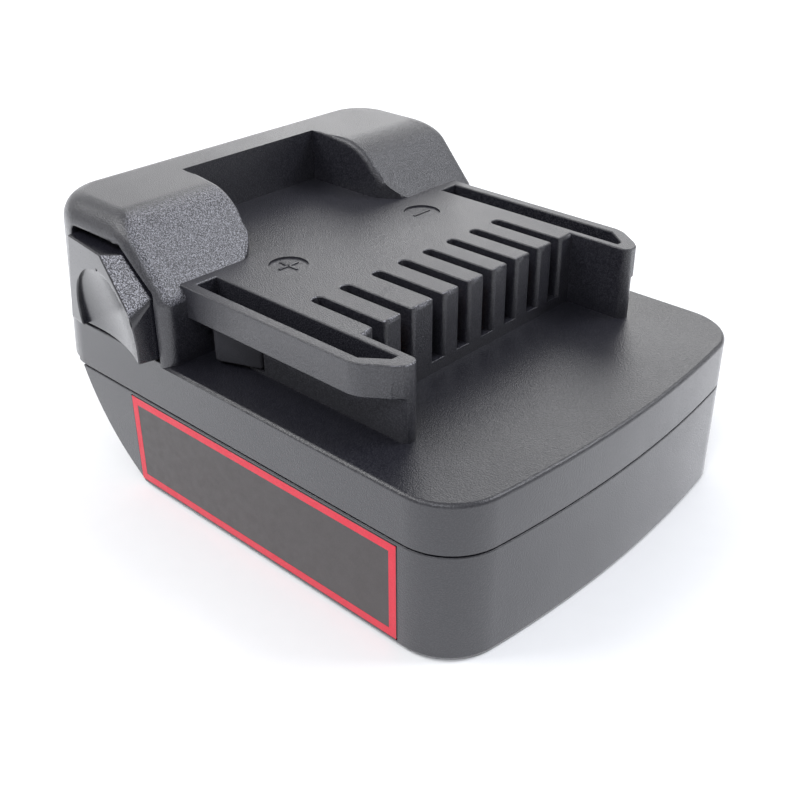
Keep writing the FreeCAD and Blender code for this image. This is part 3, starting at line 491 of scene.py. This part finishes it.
def flat_mesh(node):
    # The node's mesh with its flat faces made whole
    work = bmesh.new()
    work.from_mesh(nodes[node].data)
    bmesh.ops.remove_doubles(work, verts=work.verts, dist=MERGED_WITHIN)
    bmesh.ops.dissolve_degenerate(work, edges=work.edges, dist=SHORTEST_EDGE)
    bmesh.ops.dissolve_limit(work, angle_limit=FLATTEST, verts=work.verts, edges=work.edges,
                             delimit={"NORMAL"})
    work.normal_update()
    return work


def bevel(work, edges, width, segments, slide):
    bmesh.ops.bevel(work, geom=edges, offset=width, offset_type="OFFSET", segments=segments, profile=0.5,
                    affect="EDGES", clamp_overlap=False, loop_slide=slide)
    work.normal_update()


def is_lobe_edge(edge):
    # The edge between a lobe's crown or slope and the finger recess, whose mouth spreads a little
    half_width = RECESS_HALF_WIDTH + 1.5 * MM
    beside = all(abs(abs(vertex.co.y) - half_width) < 1.6 * MM for vertex in edge.verts)
    middle = middle_of(edge)
    return beside and CROWN_START_X < middle.x < SLOPE_END_X and middle.z > PLATFORM_TOP + 0.5 * MM


def is_rail_upright(edge):
    # An upright edge at the front of a rail's flange
    start, end = [vertex.co for vertex in edge.verts]
    upright = abs(start.z - end.z) > 3 * MM and (start.xy - end.xy).length < 0.1 * MM
    return upright and start.x > RAIL_SHOULDER_X and abs(start.y) > RAIL_NOSE_HALF_WIDTH


def is_rail_shoulder(edge):
    return is_rail_upright(edge) and middle_of(edge).x < RAIL_NOSE_X


def is_rail_nose(edge):
    return is_rail_upright(edge) and middle_of(edge).x > RAIL_NOSE_X


def soften(work):
    # The upper housing's softest edges, rounded wider than the rest
    kinds = (
        (is_rail_shoulder, SHOULDER_ROUNDING),
        (is_rail_nose, NOSE_ROUNDING),
        (is_lobe_edge, LOBE_ROUNDING),
    )
    for chosen, width in kinds:
        edges = [edge for edge in work.edges
                 if edge.is_convex and is_sharp(edge, SOFT_ABOVE) and chosen(edge)]
        bevel(work, edges, width, segments=4, slide=True)


def faults(work, surface, normals, width):
    # Places where the rounding left the old surface or turned over
    places = []
    for face in work.faces:
        if face.calc_area() < SMALLEST_AREA:
            continue
        centre = face.calc_center_median()
        distance = distance_to(surface, centre)
        beside = surface.find_nearest_range(centre, distance + EQUALLY_NEAR * width)
        best = max(face.normal.dot(normals[found[2]]) for found in beside)
        turned = best < TURNED_DOT and distance < TURNED_NEAR * width
        if distance > STRAYED * width or turned:
            places.append(centre.copy())
    for vertex in work.verts:
        if distance_to(surface, vertex.co) > STRAYED * width:
            places.append(vertex.co.copy())
    return places


def is_beside(place, start, end, reach):
    # Whether a place lies within reach of the line from start to end
    run = end - start
    share = max(0.0, min(1.0, (place - start).dot(run) / max(run.length_squared, SMALLEST_SQUARE)))
    return (start + run * share - place).length < reach


def round_edges(node, width, segments, barred):
    # The node's mesh with its sharp edges rounded apart from barred ones, the surface that it had
    # before, and the marks of edges whose rounding went wrong
    work = flat_mesh(node)
    if node == "upper_housing":
        soften(work)
    surface = BVHTree.FromBMesh(work)
    normals = [face.normal.copy() for face in work.faces]
    edges = [edge for edge in work.edges if edge.is_convex and is_sharp(edge, ROUND_ABOVE)]
    edges = [edge for edge in edges if has_room(edge, surface, ROOM_NEEDED * width)]
    edges = [edge for edge in edges if mark_of(middle_of(edge)) not in barred]
    spans = [(mark_of(middle_of(edge)), edge.verts[0].co.copy(), edge.verts[1].co.copy()) for edge in edges]
    bevel(work, edges, width, segments, slide=False)
    places = faults(work, surface, normals, width)
    blamed = {mark for mark, start, end in spans
              if any(is_beside(place, start, end, BLAMED * width) for place in places)}
    return work, surface, blamed


def rounded_mesh(node, width, segments):
    # The node's mesh with its sharp edges rounded. An edge whose rounding leaves the surface stays sharp.
    barred = set()
    for attempt in range(MOST_ATTEMPTS):
        work, surface, blamed = round_edges(node, width, segments, barred)
        if not blamed:
            break
        barred |= blamed
    for vertex in work.verts:
        nearest = surface.find_nearest(vertex.co)
        if nearest[3] > PULLED_BACK * width:
            vertex.co = nearest[0]
    for face in work.faces:
        face.smooth = True
    for edge in work.edges:
        limit = CONVEX_SHARP_ABOVE if edge.is_convex else CONCAVE_SHARP_ABOVE
        edge.smooth = not is_sharp(edge, limit)
    return work


# Pieces
def add_object(name, work):
    # A finished mesh, as a new object
    mesh = bpy.data.meshes.new(name)
    work.to_mesh(mesh)
    work.free()
    obj = bpy.data.objects.new(name, mesh)
    bpy.context.scene.collection.objects.link(obj)
    return obj


def take_place(obj, node, body, material):
    # Makes a piece stand for a node
    obj.data.materials.append(material)
    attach(obj, body)
    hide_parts(node)


def add_trim(name, work, material):
    # A piece of the housing that stands for no node
    obj = add_object(name, work)
    obj.data.materials.append(material)
    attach(obj, HOUSING)


def stand_in(node, body, material, width, segments=2, weight=100):
    # A piece with rounded edges that stands for a node
    obj = add_object(node + "_shape", rounded_mesh(node, width, segments))
    flat = obj.modifiers.new("flat_faces", "WEIGHTED_NORMAL")
    flat.weight = weight
    flat.keep_sharp = True
    take_place(obj, node, body, material)


def repaint(node, material):
    obj = nodes[node]
    obj.data.materials.clear()
    obj.data.materials.append(material)


def join_rings(work, rings):
    # Faces between each ring of corners and the next
    for first, second in zip(rings, rings[1:]):
        for corner in range(len(first)):
            after = (corner + 1) % len(first)
            work.faces.new((first[corner], first[after], second[after], second[corner]))


def dress_housings(plastic):
    stand_in("upper_housing", HOUSING, plastic, width=0.25 * MM)
    stand_in("lower_housing", HOUSING, plastic, width=0.22 * MM)


def dress_latches():
    plastic = latch_plastic()
    stand_in("latch_button_right", "right_latch", plastic, width=0.3 * MM, segments=3, weight=50)
    stand_in("latch_button_left", "left_latch", plastic, width=0.3 * MM, segments=3, weight=50)


def polarity_bar(name, y, turn, plastic):
    # A small raised bar with rounded edges
    work = bmesh.new()
    bmesh.ops.create_cube(work, size=1.0)
    bmesh.ops.scale(work, vec=Vector(MARK_SIZE), verts=work.verts)
    bmesh.ops.bevel(work, geom=list(work.edges), offset=MARK_ROUNDING, segments=2, affect="EDGES",
                    profile=0.5)
    bmesh.ops.rotate(work, cent=(0, 0, 0), matrix=Matrix.Rotation(turn, 3, "Z"), verts=work.verts)
    bmesh.ops.translate(work, vec=Vector((MARK_X, y, MARK_FLOOR + MARK_MIDDLE)), verts=work.verts)
    for face in work.faces:
        face.smooth = True
    add_trim(name, work, plastic)


def dress_polarity_marks(plastic):
    # A plus in the right round recess and a minus in the left one, raised inside their recesses
    polarity_bar("plus_bar_1", -MARK_Y, 0, plastic)
    polarity_bar("plus_bar_2", -MARK_Y, math.pi / 2, plastic)
    polarity_bar("minus_bar", MARK_Y, math.pi / 2, plastic)


def upright_rectangle(work, sides, y):
    # The corners of a rectangle between two x and two z
    x0, x1, z0, z1 = sides
    return [work.verts.new((x, y, z)) for x, z in ((x0, z0), (x1, z0), (x1, z1), (x0, z1))]


def dress_label():
    # The film's own plate in a dark tone, with a red frame that stands a little proud of it
    low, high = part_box("side_label")
    field = label_film("label_field", (0.034, 0.029, 0.029), (0.04, 0.034, 0.034))
    stand_in("side_label", HOUSING, field, width=0.05 * MM)
    outer = (low.x + LABEL_MARGIN, high.x - LABEL_MARGIN, low.z + LABEL_MARGIN, high.z - LABEL_MARGIN)
    x0, x1, z0, z1 = outer
    inner = (x0 + LABEL_FRAME_WIDTH, x1 - LABEL_FRAME_WIDTH, z0 + LABEL_FRAME_WIDTH, z1 - LABEL_FRAME_WIDTH)
    sunk = low.y + LABEL_FRAME_SUNK
    proud = low.y - LABEL_FRAME_PROUD
    work = bmesh.new()
    rings = [upright_rectangle(work, sides, y)
             for sides, y in ((outer, sunk), (outer, proud), (inner, proud), (inner, sunk))]
    join_rings(work, rings)
    bmesh.ops.recalc_face_normals(work, faces=work.faces)
    red = label_film("label_red", (0.62, 0.02, 0.045), (0.56, 0.018, 0.04))
    add_trim("label_frame", work, red)


def tube(places, radius, sides):
    # A round tube with closed ends along a row of places
    work = bmesh.new()
    rings = []
    side = None
    for number, place in enumerate(places):
        ahead = places[min(number + 1, len(places) - 1)] - places[max(number - 1, 0)]
        ahead.normalize()
        if side is None:
            side = ahead.orthogonal().normalized()
        side = (side - ahead * side.dot(ahead)).normalized()
        up = ahead.cross(side)
        ring = []
        for corner in range(sides):
            turn = 2 * math.pi * corner / sides
            sideways = side * (radius * math.cos(turn))
            upwards = up * (radius * math.sin(turn))
            ring.append(work.verts.new(place + sideways + upwards))
        rings.append(ring)
    join_rings(work, rings)
    work.faces.new(list(reversed(rings[0])))
    work.faces.new(rings[-1])
    bmesh.ops.recalc_face_normals(work, faces=work.faces)
    for face in work.faces:
        face.smooth = len(face.verts) == 4
    return work


def coil_rise(turn, length):
    # How far along a coil a turn is: the end turns lie close, and those between are spread evenly
    close_pitch = 2 * COIL_WIRE_RADIUS
    closed = COIL_CLOSED_TURNS * close_pitch
    if turn <= COIL_CLOSED_TURNS:
        return turn * close_pitch
    if turn >= COIL_TURNS - COIL_CLOSED_TURNS:
        return length - (COIL_TURNS - turn) * close_pitch
    share = (turn - COIL_CLOSED_TURNS) / (COIL_TURNS - 2 * COIL_CLOSED_TURNS)
    return closed + share * (length - 2 * closed)


def dress_spring(node, material, way):
    # A compression spring with closed ends, in the sleeve's place
    low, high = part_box(node)
    middle = (low + high) / 2
    fixed = low.y if way > 0 else high.y
    full = high.y - low.y
    length = full - 2 * COIL_WIRE_RADIUS
    places = []
    for number in range(COIL_TURNS * COIL_STEPS + 1):
        turn = number / COIL_STEPS
        angle = 2 * math.pi * turn
        x = middle.x + COIL_RADIUS * math.cos(angle)
        y = fixed + way * (COIL_WIRE_RADIUS + coil_rise(turn, length))
        z = middle.z + COIL_RADIUS * math.sin(angle)
        places.append(Vector((x, y, z)))
    obj = add_object(node + "_coil", tube(places, COIL_WIRE_RADIUS, COIL_SIDES))
    take_place(obj, node, HOUSING, material)
    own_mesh(obj)


def dress_terminal_block():
    stand_in("input_terminal_block", HOUSING, block_plastic(), width=0.2 * MM)


def dress_board():
    repaint("output_board", board_mask())
    repaint("identity_resistor", resistor_lacquer())


def dress_contacts():
    copper = metal("contact_copper", (0.62, 0.36, 0.2), (0.78, 0.5, 0.3), smooth=0.25, rough=0.4,
                   scale=900.0, tarnish=0.4)
    plating = metal("blade_plating", (0.6, 0.58, 0.53), (0.75, 0.73, 0.68), smooth=0.22, rough=0.35,
                    scale=1200.0, tarnish=0.3)
    for name in ("positive", "negative", "temperature", "identity"):
        stand_in(name + "_clip", HOUSING, copper, width=0.08 * MM)
        stand_in(name + "_blade", HOUSING, plating, width=0.08 * MM)


def dress_screws():
    steel = metal("screw_steel", (0.3, 0.3, 0.31), (0.45, 0.45, 0.46), smooth=0.3, rough=0.45,
                  scale=1500.0, tarnish=0.3)
    for name in ("housing_screws", "board_screws", "block_screws"):
        repaint(name, steel)


def dress_springs():
    steel = metal("spring_steel", (0.45, 0.45, 0.46), (0.6, 0.6, 0.61), smooth=0.22, rough=0.34,
                  scale=2000.0)
    dress_spring("latch_spring_right", steel, way=-1)
    dress_spring("latch_spring_left", steel, way=1)


def dress_wires():
    repaint("positive_wire", insulation("red_insulation", (0.5, 0.035, 0.03), (0.58, 0.05, 0.04)))
    repaint("negative_wire", insulation("black_insulation", (0.028, 0.028, 0.028), (0.04, 0.04, 0.04)))
    repaint("temperature_wire", insulation("white_insulation", (0.72, 0.72, 0.7), (0.8, 0.8, 0.78)))
    repaint("identity_wire", insulation("yellow_insulation", (0.66, 0.5, 0.05), (0.74, 0.58, 0.08)))


# Stage, light and camera
def make_floor():
    # Just under the bottom rim, so that the two faces don't lie in one plane
    half = 3.0
    low = -0.02 * MM
    corners = [(-half, -half, low), (half, -half, low), (half, half, low), (-half, half, low)]
    mesh = bpy.data.meshes.new("floor")
    mesh.from_pydata(corners, [], [(0, 1, 2, 3)])
    floor = bpy.data.objects.new("floor", mesh)
    bpy.context.scene.collection.objects.link(floor)
    floor.data.materials.append(floor_paper())


def add_background(tree, color, strength):
    background = tree.nodes.new("ShaderNodeBackground")
    background.inputs["Color"].default_value = color + (1.0,)
    background.inputs["Strength"].default_value = strength
    return background.outputs[0]


def make_world():
    # A soft sky lights the object, and the camera and reflections see white
    world = bpy.data.worlds.new("studio")
    world.use_nodes = True
    tree = world.node_tree
    tree.nodes.clear()
    output = tree.nodes.new("ShaderNodeOutputWorld")
    soft = add_background(tree, (0.95, 0.97, 1.0), strength=0.62)
    white = add_background(tree, (1.0, 1.0, 1.0), strength=1.0)
    path = tree.nodes.new("ShaderNodeLightPath")
    seen = path.outputs["Is Camera Ray"]
    for ray in ("Is Glossy Ray", "Is Transmission Ray"):
        larger = tree.nodes.new("ShaderNodeMath")
        larger.operation = "MAXIMUM"
        tree.links.new(seen, larger.inputs[0])
        tree.links.new(path.outputs[ray], larger.inputs[1])
        seen = larger.outputs[0]
    mix = tree.nodes.new("ShaderNodeMixShader")
    tree.links.new(seen, mix.inputs["Fac"])
    tree.links.new(soft, mix.inputs[1])
    tree.links.new(white, mix.inputs[2])
    tree.links.new(mix.outputs[0], output.inputs["Surface"])
    bpy.context.scene.world = world


def add_softbox(name, place, target, size, power, color=(1.0, 1.0, 1.0)):
    lamp = bpy.data.lights.new(name, "AREA")
    lamp.shape = "RECTANGLE"
    lamp.size, lamp.size_y = size
    lamp.energy = power
    lamp.color = color
    obj = bpy.data.objects.new(name, lamp)
    bpy.context.scene.collection.objects.link(obj)
    obj.location = place
    way = Vector(target) - Vector(place)
    obj.rotation_mode = "QUATERNION"
    obj.rotation_quaternion = way.to_track_quat("-Z", "Y")


def make_lights():
    centre = (0.0, 0.0, 0.03)
    floor_at_left = (-0.12, -0.08, 0.0)
    cool = (0.92, 0.94, 1.0)
    add_softbox("back_low_softbox", (-0.8, 0.53, 0.22), centre, size=(0.6, 0.3), power=0.75)
    add_softbox("back_high_softbox", (-0.43, 0.75, 0.5), centre, size=(0.7, 0.4), power=2.4)
    add_softbox("high_softbox", (0.42, 0.5, 0.7), centre, size=(0.36, 0.36), power=4.8, color=cool)
    add_softbox("front_softbox", (0.25, -0.56, 0.8), centre, size=(0.2, 0.2), power=2.8, color=cool)
    add_softbox("left_floor_softbox", (-0.32, -0.28, 0.5), floor_at_left, size=(0.3, 0.3), power=2.2)


def make_camera():
    # The photograph's camera, fitted to corners of the object
    place = Vector((0.1198, -0.127, 0.11325))
    forward = Vector((-0.5885, 0.6309, -0.5056)).normalized()
    roll = math.radians(-0.19)
    side = forward.cross(Vector((0, 0, 1))).normalized()
    up = side.cross(forward)
    turned_side = side * math.cos(roll) + up * math.sin(roll)
    turned_up = up * math.cos(roll) - side * math.sin(roll)
    axes = Matrix((turned_side, turned_up, -forward)).transposed()
    camera = bpy.data.objects.new("camera", bpy.data.cameras.new("camera"))
    bpy.context.scene.collection.objects.link(camera)
    camera.data.sensor_width = 36.0
    camera.data.lens = 50.1
    camera.data.clip_start = 0.01
    camera.data.clip_end = 20.0
    camera.matrix_world = Matrix.Translation(place) @ axes.to_4x4()
    bpy.context.scene.camera = camera


moulded_plastic = housing_plastic()
dress_housings(moulded_plastic)
dress_latches()
dress_polarity_marks(moulded_plastic)
dress_label()
dress_terminal_block()
dress_board()
dress_contacts()
dress_screws()
dress_springs()
dress_wires()
make_floor()
make_world()
make_lights()
make_camera()
bpy.context.scene.view_settings.view_transform = "Standard"
